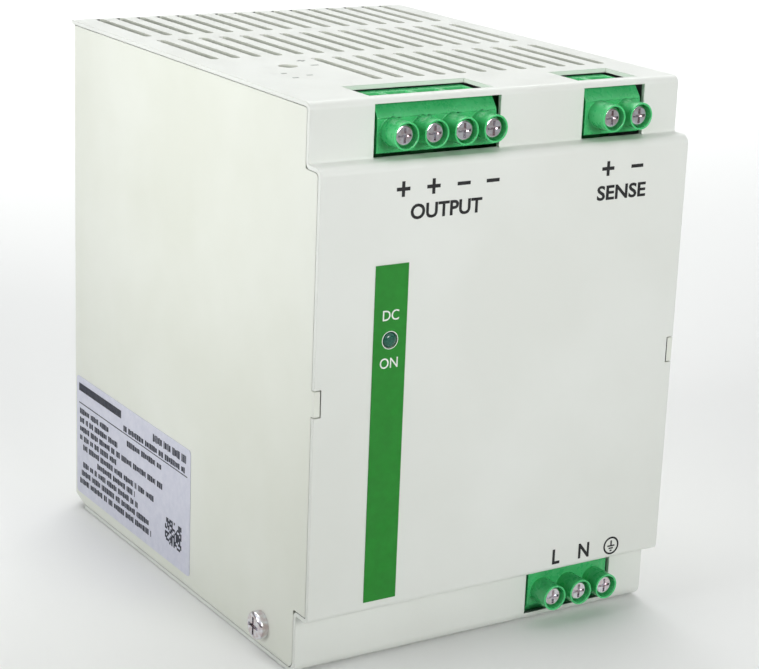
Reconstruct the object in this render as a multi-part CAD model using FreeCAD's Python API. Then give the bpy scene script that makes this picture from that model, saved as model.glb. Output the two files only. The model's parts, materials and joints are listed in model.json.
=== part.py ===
"""DIN rail power supply: a sheet-steel case with screw terminals, its circuit boards and its rail clip.

Every piece is modelled in the case's own frame, in millimetres: x from the left wall to the right,
y rearwards from the recessed part of the front, z up from the underside. The files are written about
the centre of the rail seat, behind the case, with the same directions.
"""
import FreeCAD
import Part
import math
import os
from FreeCAD import Vector

# Case
case_width = 98.0
case_height = 130.0
case_depth = 121.0          # recessed front face to the back
plate_proud = 5.2           # how far the middle of the front stands out
shoulder_drop = 13.0        # top of the case to the step above the front plate
skirt_height = 14.5         # underside to the step below the front plate
cover_sheet = 1.0
chassis_sheet = 1.5
seam = 0.15                 # gap left between the two sheets
top_bend = 1.8              # outer bend radii of the cover
shoulder_bend = 2.0
step_root = 0.5
bottom_bend = 3.0
heel_length = 7.0           # sloping cut at the bottom rear corner of the chassis
heel_height = 2.2
tab_height = 5.8            # chassis tab in the notch at each side of the front plate
tab_gap = 0.25
tab_middle = 65.6           # height of the tabs

# Vent slots
slot_width = 2.2
slot_length = 29.6
slot_pitch = 5.62
slot_side_margin = 6.0
slot_row_gap = 5.6
slot_rear_margin = 1.0
slot_front_margin = 19.0

# Terminals
terminal_pitch = 7.62
block_end = 0.1             # housing beyond the outer poles, each end
block_height = 10.8
block_gap = 0.4             # housing to the sheet on its wire side
block_setback = 0.3         # housing face behind the recessed front
window_side_gap = 0.9
window_front_lip = 1.3      # sheet left between the two windows of a block, up the front
window_top_lip = 2.8        # and back along the top or the underside
window_depth = 11.8
output_from_left = 32.1     # centres of the blocks
sense_from_right = 18.4
input_from_right = 22.4
output_poles = 4
sense_poles = 2
input_poles = 3
pole_inset = 6.1            # wire side of a block to its screw axes
crease_inset = 2.9
crease_slope = 2.4
collar_radius = 3.1
collar_wall = 0.4
collar_out = 5.5            # collars in front of the recessed face
screw_recess = 0.9
terminal_screw_radius = 1.5
terminal_head_height = 1.8
terminal_seat_gap = 0.05
shank_fit = 0.08
thread_fit = 0.05
clamp_wall = 0.6
clamp_plate = 1.5
clamp_width = 5.6
clamp_length = 6.2
clamp_inset = 2.7
clamp_front = 3.9
wire_space = 4.5
contact_thickness = 0.9
clamp_travel = 2.4
board_front = 15.5          # front of the terminal board, behind the recessed face
board_thickness = 1.6
pin_radius = 0.6
pin_fit = 0.1

# Front marks
strip_left = 14.3
strip_width = 8.3
strip_bottom = 17.0
strip_top_drop = 35.2       # top of the case to the top of the strip
strip_thickness = 0.25
lamp_radius = 1.8
lamp_drop = 52.1            # top of the case to the lamp
lamp_fit = 0.1
lamp_dome = 0.45

# Rating label on the left wall
label_length = 66.5
label_height = 32.6
label_rear_margin = 2.6
label_bottom = 3.9
label_thickness = 0.15

# Screws at the foot of both walls
case_screw_radius = 2.0
case_head_radius = 3.35
case_head_height = 2.4
case_screw_length = 5.5
case_screw_y = 15.3
case_screw_z = 6.4
ear_thickness = 1.2
ear_half = 5.0
tongue_width = 3.6          # tongues that keep the cover's rear edge inside the back

# Voltage trimmer under the top
trimmer_x = 18.1
trimmer_y = 41.6
trimmer_hole_radius = 2.25
trimmer_side = 9.5
trimmer_height = 5.0
rotor_radius = 1.9
rotor_height = 2.4
rotor_stand = 0.7
control_board_drop = 12.0   # top of the case to the underside of the control board
control_board_length = 30.0
control_board_width = 25.0

# Rail clip
rail_height = 66.0          # underside to the rail's centre line
rail_size = 35.0
rail_flange = 1.0
rail_lap = 3.3              # hook and latch behind the flanges
rail_play = 0.35
bracket_plate = 2.0
bracket_width = 50.0
bracket_top = 24.0
bracket_bottom = 56.0
hook_thickness = 2.3
latch_width = 18.0
latch_thickness = 4.2
latch_slack = 0.2
latch_foot = 63.5           # rail centre line to the lower end of the latch
latch_travel = 5.0
guide_wall = 2.0
guide_lap = 1.8
spring_coil_radius = 1.5
spring_wire_radius = 0.25
spring_turns = 8
spring_rest_length = 14.4
spring_head = 34.0          # rail centre line to the upper end of the spring
bracket_screw_radius = 1.5
bracket_head_height = 1.6
bracket_screw_x = 19.0
bracket_screw_z = 8.0

# Boards and the parts on them
standoff_height = 6.0
board_screw_radius = 1.5
board_front_margin = 13.0
board_rear_margin = 6.0
board_edge_margin = 6.0

offset = Vector(-case_width / 2, -(case_depth + bracket_plate), -rail_height)
nodes = {}


def keep(name, *solids):
    """Record one node, made of one or more solids."""
    nodes[name] = solids[0] if len(solids) == 1 else Part.makeCompound(list(solids))


def box(x, y, z):
    """Block between two limits on each axis, given in either order."""
    low = [min(pair) for pair in (x, y, z)]
    size = [abs(pair[1] - pair[0]) for pair in (x, y, z)]
    return Part.makeBox(*size, Vector(*low))


def rod(radius, start, end):
    """Cylinder from one point to another."""
    start, end = Vector(*start), Vector(*end)
    return Part.makeCylinder(radius, start.distanceToPoint(end), start, end - start)


def outline(points, radii):
    """Face inside a closed outline whose corners are rounded by the given radii."""
    count = len(points)
    corners = []
    for index, point in enumerate(points):
        back = (points[index - 1] - point).normalize()
        ahead = (points[(index + 1) % count] - point).normalize()
        if radii[index] == 0:
            corners.append((point, point, point))
            continue
        half_angle = back.getAngle(ahead) / 2
        inward = (back + ahead).normalize()
        reach = radii[index] / math.tan(half_angle)
        depth = radii[index] / math.sin(half_angle) - radii[index]
        corners.append((point + back * reach, point + inward * depth, point + ahead * reach))
    edges = []
    for index, (start, middle, end) in enumerate(corners):
        if radii[index]:
            edges.append(Part.Arc(start, middle, end).toShape())
        following = corners[(index + 1) % count][0]
        if end.distanceToPoint(following) > 1e-6:
            edges.append(Part.LineSegment(end, following).toShape())
    return Part.Face(Part.Wire(edges))


def prism(axis, points, low, high, radius=0.0, radii=None):
    """Outline in the plane across an axis, drawn out between two places along it."""
    placers = {"x": lambda a, b: Vector(low, a, b), "y": lambda a, b: Vector(a, low, b),
               "z": lambda a, b: Vector(a, b, low)}
    ways = {"x": Vector(1, 0, 0), "y": Vector(0, 1, 0), "z": Vector(0, 0, 1)}
    corners = [placers[axis](*point) for point in points]
    face = outline(corners, radii if radii else [radius] * len(points))
    return face.extrude(ways[axis] * (high - low))


def bent_sheet(axis, points, radii, thickness, low, high):
    """Sheet folded along an open line. The line is its outer face and the metal lies to the left of it."""
    ways = []
    for start, end in zip(points, points[1:]):
        length = math.hypot(end[0] - start[0], end[1] - start[1])
        ways.append(((end[0] - start[0]) / length, (end[1] - start[1]) / length))
    inner, inner_radii = [], []
    for index, (a, b) in enumerate(points):
        before = ways[max(index - 1, 0)]
        after = ways[min(index, len(ways) - 1)]
        scale = thickness / (1 + before[0] * after[0] + before[1] * after[1])
        inner.append((a - (before[1] + after[1]) * scale, b + (before[0] + after[0]) * scale))
        turn = before[0] * after[1] - before[1] * after[0]
        change = -thickness if turn > 0 else thickness
        inner_radii.append(radii[index] + change if radii[index] else 0)
    return prism(axis, points + inner[::-1], low, high, radii=radii + inner_radii[::-1])


def lathe(profile, radii=None):
    """Solid turned about +Z from (radius, height) points that start and end on the axis."""
    corners = [Vector(radius, 0, height) for radius, height in profile]
    return outline(corners, radii or [0] * len(corners)).revolve(Vector(), Vector(0, 0, 1), 360)


def stand(shape, place, way):
    """Turn a shape's +Z to a direction and move its origin to a place."""
    copy = shape.copy()
    turned = FreeCAD.Placement(Vector(*place), FreeCAD.Rotation(Vector(0, 0, 1), Vector(*way)))
    copy.Placement = turned.multiply(shape.Placement)
    return copy


def cross_recess(radius, depth, blade):
    """Crossed slots of a screw head whose top is at height 0."""
    along = box((-radius, radius), (-blade / 2, blade / 2), (-depth, 1))
    across = box((-blade / 2, blade / 2), (-radius, radius), (-depth, 1))
    return along.fuse(across)


def pan_screw(radius, length, head_radius, head_height):
    """Pan head screw with its seat at height 0 and its head above."""
    profile = [(0, -length), (radius, -length), (radius, 0), (head_radius, 0),
               (head_radius, head_height), (0, head_height)]
    crown = min(head_height, head_radius) * 0.4
    body = lathe(profile, [0, radius * 0.2, 0, 0.1, crown, 0])
    recess = cross_recess(head_radius * 0.66, head_height * 0.5, head_radius * 0.24)
    recess.translate(Vector(0, 0, head_height))
    return body.cut(recess)


def flat_screw(radius, length, head_height):
    """Countersunk screw whose flat head is level with height 0."""
    head_radius = radius + head_height
    body = lathe([(0, -length), (radius, -length), (radius, -head_height), (head_radius, 0), (0, 0)])
    return body.cut(cross_recess(head_radius * 0.5, head_height * 0.6, head_radius * 0.2))


# Heights and depths that several pieces share
plate_front = -plate_proud
shoulder = case_height - shoulder_drop


# Chassis and cover

def side_outline():
    """Corners of the chassis wall, seen from the side, just inside the cover."""
    inside = cover_sheet + seam
    points = [(case_depth, inside + heel_height), (case_depth - heel_length, inside),
              (inside, inside), (inside, skirt_height + inside),
              (plate_front + inside, skirt_height + inside),
              (plate_front + inside, shoulder - inside), (inside, shoulder - inside),
              (inside, case_height - inside), (case_depth, case_height - inside)]
    radii = [1, 3, bottom_bend - cover_sheet, 0.4, 0.4, 1.2, 0.4, top_bend - cover_sheet, 0.6]
    return points, radii


def make_chassis():
    """Left wall, back and right wall folded from one sheet."""
    fold = [(case_width, plate_front), (case_width, case_depth), (0, case_depth), (0, plate_front)]
    bends = [0, chassis_sheet + 0.5, chassis_sheet + 0.5, 0]
    sheet = bent_sheet("z", fold, bends, chassis_sheet, 0, case_height)
    points, radii = side_outline()
    body = sheet.common(prism("x", points, 0, case_width, radii=radii))
    tab = box((0, chassis_sheet), (plate_front, plate_front + cover_sheet + 2 * seam),
              (tab_middle - tab_height / 2, tab_middle + tab_height / 2))
    far_tab = tab.copy()
    far_tab.translate(Vector(case_width - chassis_sheet, 0, 0))
    body = body.fuse([tab, far_tab]).removeSplitter()
    holes = [rod(case_screw_radius + 0.2, (-1, case_screw_y, case_screw_z),
                 (case_width + 1, case_screw_y, case_screw_z))]
    for x, z in bracket_screw_places():
        holes.append(rod(bracket_screw_radius + 0.1, (x, case_depth - 5, z), (x, case_depth + 1, z)))
    return body.cut(holes)


def slot_rows(sheet_end):
    """Front ends of the slot rows in a sheet, from its rear edge forwards."""
    start = sheet_end - slot_rear_margin - slot_length
    while start >= slot_front_margin:
        yield start
        start -= slot_length + slot_row_gap


def slot_columns():
    """Centres of the slots across the case."""
    count = int((case_width - 2 * slot_side_margin) / slot_pitch) + 1
    first = (case_width - (count - 1) * slot_pitch) / 2
    return [first + index * slot_pitch for index in range(count)]


def vent_slot(x, start, z):
    """Cutter for one slot with round ends, through a sheet at height z."""
    half = slot_width / 2
    corners = [(x - half, start), (x + half, start), (x + half, start + slot_length),
               (x - half, start + slot_length)]
    return prism("z", corners, z - 2 * cover_sheet, z + 2 * cover_sheet, radius=half * 0.98)


def vent_slots():
    """Cutters for all slots. On top, the trimmer keeps a plain patch of sheet around its hole."""
    patch = trimmer_hole_radius + slot_pitch
    cutters = [vent_slot(x, start, 0)
               for start in slot_rows(case_depth - heel_length) for x in slot_columns()]
    for start in slot_rows(case_depth):
        for x in slot_columns():
            beside = start - patch < trimmer_y < start + slot_length + patch and x < trimmer_x + patch
            if not beside:
                cutters.append(vent_slot(x, start, case_height))
    return cutters


def block_windows(middle, poles, from_top):
    """Cutters for the front window and the wire window of a terminal block."""
    half = poles * terminal_pitch / 2 + block_end + window_side_gap
    z_edge, lip_way = (case_height, -1) if from_top else (0, 1)
    z_lip = z_edge + lip_way * (window_front_lip if from_top else window_front_lip + 0.9)
    z_step = shoulder if from_top else skirt_height
    front = box((middle - half, middle + half), (-1, cover_sheet + 1), (z_lip, z_step))
    wire = box((middle - half + 0.2, middle + half - 0.2), (window_top_lip, window_top_lip + window_depth),
               (z_edge - 2 * cover_sheet, z_edge + 2 * cover_sheet))
    return [front, wire]


def make_cover():
    """Top, stepped front and underside folded from one sheet."""
    fold = [(case_depth, case_height), (0, case_height), (0, shoulder), (plate_front, shoulder),
            (plate_front, skirt_height), (0, skirt_height), (0, 0), (case_depth - heel_length, 0)]
    bends = [0, top_bend, step_root, shoulder_bend, cover_sheet + 0.3, step_root, bottom_bend, 0]
    body = bent_sheet("x", fold, bends, cover_sheet, 0, case_width)
    additions = []
    ear_top = case_screw_z + case_head_radius + 1.5
    for x in (chassis_sheet + seam, case_width - chassis_sheet - seam - ear_thickness):
        ear = [(case_screw_y - ear_half, cover_sheet / 2), (case_screw_y + ear_half, cover_sheet / 2),
               (case_screw_y + ear_half, ear_top), (case_screw_y - ear_half, ear_top)]
        additions.append(prism("x", ear, x, x + ear_thickness, radii=[0, 0, 2, 2]))
    tongue_back = case_depth - chassis_sheet - seam
    beside_wall = chassis_sheet + seam + tongue_width / 2 + 0.2
    for x in (beside_wall, case_width - beside_wall):
        additions.append(box((x - tongue_width / 2, x + tongue_width / 2),
                             (tongue_back - cover_sheet, tongue_back),
                             (case_height - 7, case_height - cover_sheet / 2)))
    body = body.fuse(additions).removeSplitter()
    cutters = vent_slots()
    for block in block_places():
        cutters += block_windows(*block[:3])
    notch_depth = chassis_sheet + tab_gap
    notch = (tab_middle - tab_height / 2 - tab_gap, tab_middle + tab_height / 2 + tab_gap)
    for x in ((-1, notch_depth), (case_width - notch_depth, case_width + 1)):
        cutters.append(box(x, (plate_front - 1, plate_front + cover_sheet + 0.01), notch))
    cutters.append(rod(lamp_radius + lamp_fit, lamp_point(plate_front - 1), lamp_point(plate_front + 3)))
    cutters.append(rod(trimmer_hole_radius, (trimmer_x, trimmer_y, case_height - 3),
                       (trimmer_x, trimmer_y, case_height + 1)))
    cutters.append(rod(case_screw_radius + thread_fit, (chassis_sheet, case_screw_y, case_screw_z),
                       (case_width - chassis_sheet, case_screw_y, case_screw_z)))
    return body.cut(cutters)


def make_case_screws():
    """Pan head screw at the foot of each wall."""
    screw = pan_screw(case_screw_radius, case_screw_length, case_head_radius, case_head_height)
    return [stand(screw, (0, case_screw_y, case_screw_z), (-1, 0, 0)),
            stand(screw, (case_width, case_screw_y, case_screw_z), (1, 0, 0))]


# Front strip, lamp and label

def lamp_point(y):
    """Point on the axis of the lamp."""
    return (strip_left + strip_width / 2, y, case_height - lamp_drop)


def make_strip():
    """Coloured film down the front plate, with a hole for the lamp."""
    film = box((strip_left, strip_left + strip_width), (plate_front - strip_thickness, plate_front),
               (strip_bottom, case_height - strip_top_drop))
    return film.cut(rod(lamp_radius + lamp_fit, lamp_point(plate_front - 2), lamp_point(plate_front + 2)))


def make_light_guide():
    """Clear rod from the lamp on the terminal board out through the front plate, with a stop collar."""
    tip = plate_front - strip_thickness - lamp_dome
    end = board_front - 2.2
    body = lathe([(0, 0), (lamp_radius, 0), (lamp_radius, end - tip), (0, end - tip)], [0, 0, 1.1, 0])
    body = stand(body, lamp_point(end), (0, -1, 0))
    collar_face = plate_front + cover_sheet
    collar = rod(lamp_radius + 1, lamp_point(collar_face), lamp_point(collar_face + 1.2))
    return body.fuse(collar).removeSplitter()


def make_lamp():
    """Light-emitting diode on the terminal board."""
    x, _, z = lamp_point(0)
    return box((x - 1.6, x + 1.6), (board_front - 1.8, board_front), (z - 1.25, z + 1.25))


def make_label():
    """Foil label on the left wall."""
    rear = case_depth - label_rear_margin
    corners = [(rear - label_length, label_bottom), (rear, label_bottom),
               (rear, label_bottom + label_height), (rear - label_length, label_bottom + label_height)]
    return prism("x", corners, -label_thickness, 0, radius=1.0)


# Terminal blocks

def block_places():
    """Centre, number of poles, whether wires enter from above, and name of each block."""
    return [(output_from_left, output_poles, True, "output"),
            (case_width - sense_from_right, sense_poles, True, "sense"),
            (case_width - input_from_right, input_poles, False, "input")]


def funnel(x, mouth_z, throat_z):
    """Cutter that narrows from the wire side of a housing into the clamp space."""
    bar_back = clamp_front + clamp_plate + 0.4 + contact_thickness
    mouth = ((x - 3.1, x + 3.1), (bar_back - 2.9, bar_back + wire_space + 1.3))
    throat = ((x - 2.3, x + 2.3), (bar_back, bar_back + wire_space))
    wires = []
    for (x_pair, y_pair), z in ((mouth, mouth_z), (throat, throat_z)):
        corners = [Vector(x_pair[i], y_pair[j], z) for i, j in ((0, 0), (1, 0), (1, 1), (0, 1), (0, 0))]
        wires.append(Part.makePolygon(corners))
    return Part.makeLoft(wires, True)


def make_block(middle, poles, from_top, name):
    """Housing of one terminal block, with its screws, rising clamps and contacts."""
    edge = case_height - cover_sheet - block_gap if from_top else cover_sheet + block_gap
    inward = -1 if from_top else 1

    def height(inset):
        return edge + inward * inset

    half = poles * terminal_pitch / 2 + block_end
    front = block_setback
    profile = [(front, height(block_height)), (front, height(crease_inset)),
               (front + crease_slope, height(0)), (board_front, height(0)),
               (board_front, height(block_height))]
    housing = prism("x", profile, middle - half, middle + half, radii=[0.4, 1.5, 0.4, 0.4, 0.4])
    xs = [middle + (index - (poles - 1) / 2) * terminal_pitch for index in range(poles)]
    z_pole = height(pole_inset)
    head_top = screw_recess - collar_out
    head_radius = collar_radius - collar_wall - shank_fit * 2
    seat = head_top + terminal_head_height + terminal_seat_gap
    cavity_front = clamp_front - clamp_travel - 0.3
    clamp_depth = 2 * clamp_plate + 0.4 + contact_thickness + wire_space
    cavity_back = clamp_front + clamp_depth + 0.3
    leg = (clamp_inset + clamp_length + 0.25, clamp_inset + clamp_length + 0.25 + contact_thickness)
    cavity_end = leg[1] + 0.1

    collars = [rod(collar_radius, (x, -collar_out, z_pole), (x, front + 1, z_pole)) for x in xs]
    housing = housing.fuse(collars)
    cutters, contacts = [], []
    for number, x in enumerate(xs, 1):
        cutters.append(rod(collar_radius - collar_wall, (x, -collar_out - 1, z_pole), (x, seat, z_pole)))
        cutters.append(rod(terminal_screw_radius + shank_fit, (x, seat - 1, z_pole),
                           (x, cavity_front + 1, z_pole)))
        half_clamp = clamp_width / 2
        cutters.append(box((x - half_clamp - 0.15, x + half_clamp + 0.15), (cavity_front, cavity_back),
                           (height(clamp_inset - 0.3), height(cavity_end))))
        cutters.append(funnel(x, height(0), height(clamp_inset - 0.2)))
        cutters.append(box((x - 2.0, x + 2.0), (cavity_back - 1, board_front + 1),
                           (height(leg[0] - 0.1), height(cavity_end))))

        screw = pan_screw(terminal_screw_radius, clamp_front + clamp_plate + 0.2 - seat, head_radius,
                          terminal_head_height)
        keep(f"{name}_screw_{number}", stand(screw, (x, seat - terminal_seat_gap, z_pole), (0, -1, 0)))

        clamp = box((x - half_clamp, x + half_clamp), (clamp_front, clamp_front + clamp_depth),
                    (height(clamp_inset), height(clamp_inset + clamp_length)))
        space = box((x - half_clamp + clamp_wall, x + half_clamp - clamp_wall),
                    (clamp_front + clamp_plate, clamp_front + clamp_depth - clamp_plate),
                    (height(clamp_inset - 1), height(clamp_inset + clamp_length + 1)))
        thread = rod(terminal_screw_radius + thread_fit, (x, clamp_front - 1, z_pole),
                     (x, clamp_front + clamp_plate + 1, z_pole))
        keep(f"{name}_clamp_{number}", clamp.cut([space, thread]))

        bar_front = clamp_front + clamp_plate + 0.4
        bar = box((x - 1.9, x + 1.9), (bar_front, bar_front + contact_thickness),
                  (height(clamp_inset), height(leg[1])))
        foot = box((x - 1.9, x + 1.9), (bar_front, board_front), (height(leg[0]), height(leg[1])))
        z_leg = height((leg[0] + leg[1]) / 2)
        pin = rod(pin_radius, (x, board_front, z_leg), (x, board_front + board_thickness + 2, z_leg))
        contacts.append(bar.fuse([foot, pin]).removeSplitter())
        pin_places.append((x, z_leg))
    keep(f"{name}_terminal_housing", housing.cut(cutters).removeSplitter())
    keep(f"{name}_contacts", *contacts)


# Rail clip

def bracket_screw_places():
    """Places of the screws that hold the bracket to the back."""
    middle = case_width / 2
    return [(middle + side * bracket_screw_x, rail_height + level * bracket_screw_z)
            for side in (-1, 1) for level in (-1, 1)]


def rail_half():
    """Half the height of the space between the hook and the latch."""
    return rail_size / 2 + 0.4


def make_bracket():
    """Pressed plate with the fixed upper hook, the guides of the latch and the stop for its spring."""
    middle = case_width / 2
    face = case_depth + bracket_plate
    lip = face + rail_flange + rail_play
    upper = rail_height + rail_half()
    hook_end = lip + hook_thickness
    profile = [(case_depth, rail_height - bracket_bottom), (face, rail_height - bracket_bottom),
               (face, upper), (lip, upper), (lip, rail_height + rail_size / 2 - rail_lap),
               (hook_end, rail_height + rail_size / 2 - rail_lap), (hook_end, upper + hook_thickness),
               (face, upper + hook_thickness), (face, rail_height + bracket_top),
               (case_depth, rail_height + bracket_top)]
    radii = [0, 1, 0, 0, 0.5, 0.8, 1.5, 0.8, 1, 0]
    body = prism("x", profile, middle - bracket_width / 2, middle + bracket_width / 2, radii=radii)
    guide_top = rail_height - rail_half() - latch_travel - 2
    guide_low = rail_height - bracket_bottom + 1
    wall = latch_width / 2 + latch_slack
    over = face + latch_slack * 2 + latch_thickness
    guides = []
    for side in (-1, 1):
        corners = [(middle + side * wall, face - 0.5), (middle + side * wall, over),
                   (middle + side * (wall - guide_lap), over),
                   (middle + side * (wall - guide_lap), over + 1.3),
                   (middle + side * (wall + guide_wall), over + 1.3),
                   (middle + side * (wall + guide_wall), face - 0.5)]
        guides.append(prism("z", corners, guide_low, guide_top, radii=[0, 0, 0, 0.3, 0.9, 0]))
    stop_top = rail_height - spring_head - spring_rest_length
    stop = box((middle - spring_coil_radius - 0.7, middle + spring_coil_radius + 0.7),
               (face - 0.5, face + latch_thickness), (stop_top - 2.4, stop_top))
    body = body.fuse(guides + [stop]).removeSplitter()
    hole = bracket_screw_radius + 0.1
    cutters = []
    for x, z in bracket_screw_places():
        cutters.append(rod(hole, (x, case_depth - 1, z), (x, face, z)))
        cutters.append(Part.makeCone(hole, hole + bracket_head_height, bracket_head_height,
                                     Vector(x, face - bracket_head_height, z), Vector(0, 1, 0)))
    return body.cut(cutters)


def make_bracket_screws():
    """Countersunk screws, level with the rail seat."""
    screw = flat_screw(bracket_screw_radius, bracket_plate + chassis_sheet + 2, bracket_head_height)
    return [stand(screw, (x, case_depth + bracket_plate, z), (0, 1, 0)) for x, z in bracket_screw_places()]


def make_latch():
    """Sliding latch: lip behind the rail, window for the spring and slot for a screwdriver."""
    middle = case_width / 2
    front = case_depth + bracket_plate + latch_slack
    back = front + latch_thickness
    lip = case_depth + bracket_plate + rail_flange + rail_play
    top = rail_height - rail_half()
    tip = rail_height - rail_size / 2 + rail_lap
    foot = rail_height - latch_foot
    profile = [(front, foot), (back, foot), (back, tip - 1.6), (back - 1.6, tip), (lip, tip),
               (lip, top), (front, top)]
    body = prism("x", profile, middle - latch_width / 2, middle + latch_width / 2,
                 radii=[0.6, 1.0, 0.4, 0.3, 0.3, 0, 0])
    half = spring_coil_radius + 1.1
    window = box((middle - half, middle + half), (front - 1, back + 1),
                 (rail_height - spring_head, rail_height - spring_head - spring_rest_length - 3.6))
    slot = box((middle - 3.5, middle + 3.5), (front - 1, back + 1), (foot + 2, foot + 5))
    return body.cut([window, slot])


def make_spring():
    """Compression spring in the latch window, standing on the stop of the bracket."""
    middle = case_width / 2
    y = case_depth + bracket_plate + latch_slack + latch_thickness / 2
    low = rail_height - spring_head - spring_rest_length + spring_wire_radius + 0.05
    length = spring_rest_length - 2 * spring_wire_radius - 0.1
    helix = Part.makeHelix(length / spring_turns, length, spring_coil_radius)
    section = Part.Wire(Part.makeCircle(spring_wire_radius, Vector(spring_coil_radius, 0, 0),
                                        Vector(0, 1, 0)))
    coil = Part.Wire(helix).makePipeShell([section], True, True)
    coil.translate(Vector(middle, y, low))
    return coil


# Boards

def board_face():
    """Inner face of the main board, where its parts stand."""
    return chassis_sheet + standoff_height + board_thickness


def make_terminal_board():
    """Board behind the front that carries the terminal blocks and the lamp."""
    body = box((board_face(), case_width - case_screw_length - 1.5),
               (board_front, board_front + board_thickness),
               (cover_sheet + 3, case_height - cover_sheet - 3))
    holes = [rod(pin_radius + pin_fit, (x, board_front - 1, z), (x, board_front + board_thickness + 1, z))
             for x, z in pin_places]
    return body.cut(holes)


def standoff_places():
    """Places of the posts that carry the main board: near its corners and half way up."""
    ys = (board_front + board_thickness + 6.5, case_depth - board_rear_margin - 6)
    low = board_edge_margin + 6
    high = case_height - board_edge_margin - 6
    return [(y, z) for y in ys for z in (low, (low + high) / 2, high)]


def make_main_board():
    """Main board along the left wall."""
    inner = board_face()
    body = box((inner - board_thickness, inner), (board_front_margin, case_depth - board_rear_margin),
               (board_edge_margin, case_height - board_edge_margin))
    holes = [rod(board_screw_radius + 0.1, (0, y, z), (inner + 1, y, z)) for y, z in standoff_places()]
    return body.cut(holes)


def make_standoffs():
    """Hexagonal posts pressed into the left wall."""
    posts = []
    for y, z in standoff_places():
        corners = [(y + 3.1 * math.cos(math.radians(60 * k)), z + 3.1 * math.sin(math.radians(60 * k)))
                   for k in range(6)]
        post = prism("x", corners, chassis_sheet, chassis_sheet + standoff_height)
        posts.append(post.cut(rod(board_screw_radius, (chassis_sheet + 1, y, z), (20, y, z))))
    return posts


def make_board_screws():
    """Pan head screws that hold the main board to its posts."""
    screw = pan_screw(board_screw_radius, board_thickness + standoff_height - 2, 2.8, 1.9)
    return [stand(screw, (board_face(), y, z), (1, 0, 0)) for y, z in standoff_places()]


# Parts on the main board: each stands on its inner face. They share out the board's depth between a front and
# a rear column, and each column is stacked upwards from the underside.

front_column = board_front + board_thickness + 6.5
bay = case_depth - board_rear_margin - front_column
front_bay = bay * 0.46
rear_column = front_column + front_bay
rear_bay = bay - front_bay


def ring_core(middle_y, middle_z, outer, inner, height, x_low):
    """Ferrite ring standing flat above the board."""
    profile = [Vector(inner, 0, 0), Vector(outer, 0, 0), Vector(outer, 0, height), Vector(inner, 0, height)]
    ring = outline(profile, [0.8] * 4).revolve(Vector(), Vector(0, 0, 1), 360)
    return stand(ring, (x_low, middle_y, middle_z), (1, 0, 0))


def ring_winding(middle_y, middle_z, outer, inner, height, x_low, wire, arcs, step):
    """Turns of wire round a ring core, on the given arcs in degrees."""
    turns = []
    gap = 0.1
    for start, end in arcs:
        angle = start
        while angle <= end:
            inside = (inner - gap, outer + gap)
            loop = box((inside[0] - wire, inside[1] + wire), (-wire / 2, wire / 2), (-wire, height + wire))
            loop = loop.cut(box(inside, (-wire, wire), (0, height)))
            loop = loop.makeFillet(wire * 0.3, outer_edges(loop, wire))
            loop.rotate(Vector(), Vector(0, 0, 1), angle)
            turns.append(stand(loop, (x_low, middle_y, middle_z), (1, 0, 0)))
            angle += step
    return turns


def outer_edges(loop, wire):
    """Edges across the wire at the outside corners of a square turn."""
    limits = loop.BoundBox
    found = []
    for edge in loop.Edges:
        point = edge.CenterOfMass
        at_side = min(abs(point.x - limits.XMin), abs(point.x - limits.XMax)) < 1e-6
        at_end = min(abs(point.z - limits.ZMin), abs(point.z - limits.ZMax)) < 1e-6
        if at_side and at_end and abs(edge.Length - wire) < 1e-6:
            found.append(edge)
    return found


def can(radius, length, place, way=(1, 0, 0)):
    """Electrolytic capacitor: sleeved can with a rolled groove near its foot and a dished top."""
    groove = min(4.0, length * 0.15)
    profile = [(0, 0), (radius, 0), (radius, groove - 0.8), (radius - 0.6, groove), (radius, groove + 0.8),
               (radius, length), (radius * 0.8, length), (radius * 0.76, length - 0.5), (0, length - 0.5)]
    return stand(lathe(profile, [0, 0.6, 0, 0.3, 0, 0.9, 0, 0, 0]), place, way)


def make_mains_parts(face):
    """Mains choke, interference capacitor and fuse, at the foot of the board. Returns their top."""
    wire = 0.9
    outer = front_bay * 0.228
    choke = dict(middle_y=front_column + front_bay * 0.275, middle_z=board_edge_margin + 4.5 + outer + wire,
                 outer=outer, inner=outer * 0.55, height=8, x_low=face + wire)
    keep("mains_choke_core", ring_core(**choke))
    keep("mains_choke_winding", *ring_winding(**choke, wire=wire, arcs=[(30, 150), (210, 330)], step=20))

    near, far = front_column + front_bay * 0.56, front_column + front_bay * 0.87
    footprint = [(face, near), (face + 22, near), (face + 22, far), (face, far)]
    keep("interference_capacitor", prism("z", footprint, board_edge_margin + 3, board_edge_margin + 28,
                                         radii=[0, 1, 1, 0]))

    clip_half = 3.1
    fuse_z = choke["middle_z"] + outer + wire + 1.5 + clip_half
    fuse_x = face + 6.5
    cap_length = 5.0
    length = front_bay * 0.476
    start = front_column + 1
    middle = rod(2.4, (fuse_x, start + cap_length, fuse_z), (fuse_x, start + length - cap_length, fuse_z))
    caps = [rod(2.6, (fuse_x, y, fuse_z), (fuse_x, y + cap_length, fuse_z))
            for y in (start, start + length - cap_length)]
    keep("fuse", middle.fuse(caps))
    clips = []
    for y in (start + 1, start + length - 4):
        clip = box((face, fuse_x), (y, y + 3), (fuse_z - clip_half, fuse_z + clip_half))
        clips.append(clip.cut(rod(2.62, (fuse_x, y - 1, fuse_z), (fuse_x, y + 4, fuse_z))))
    keep("fuse_clips", *clips)
    return fuse_z + clip_half


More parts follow.
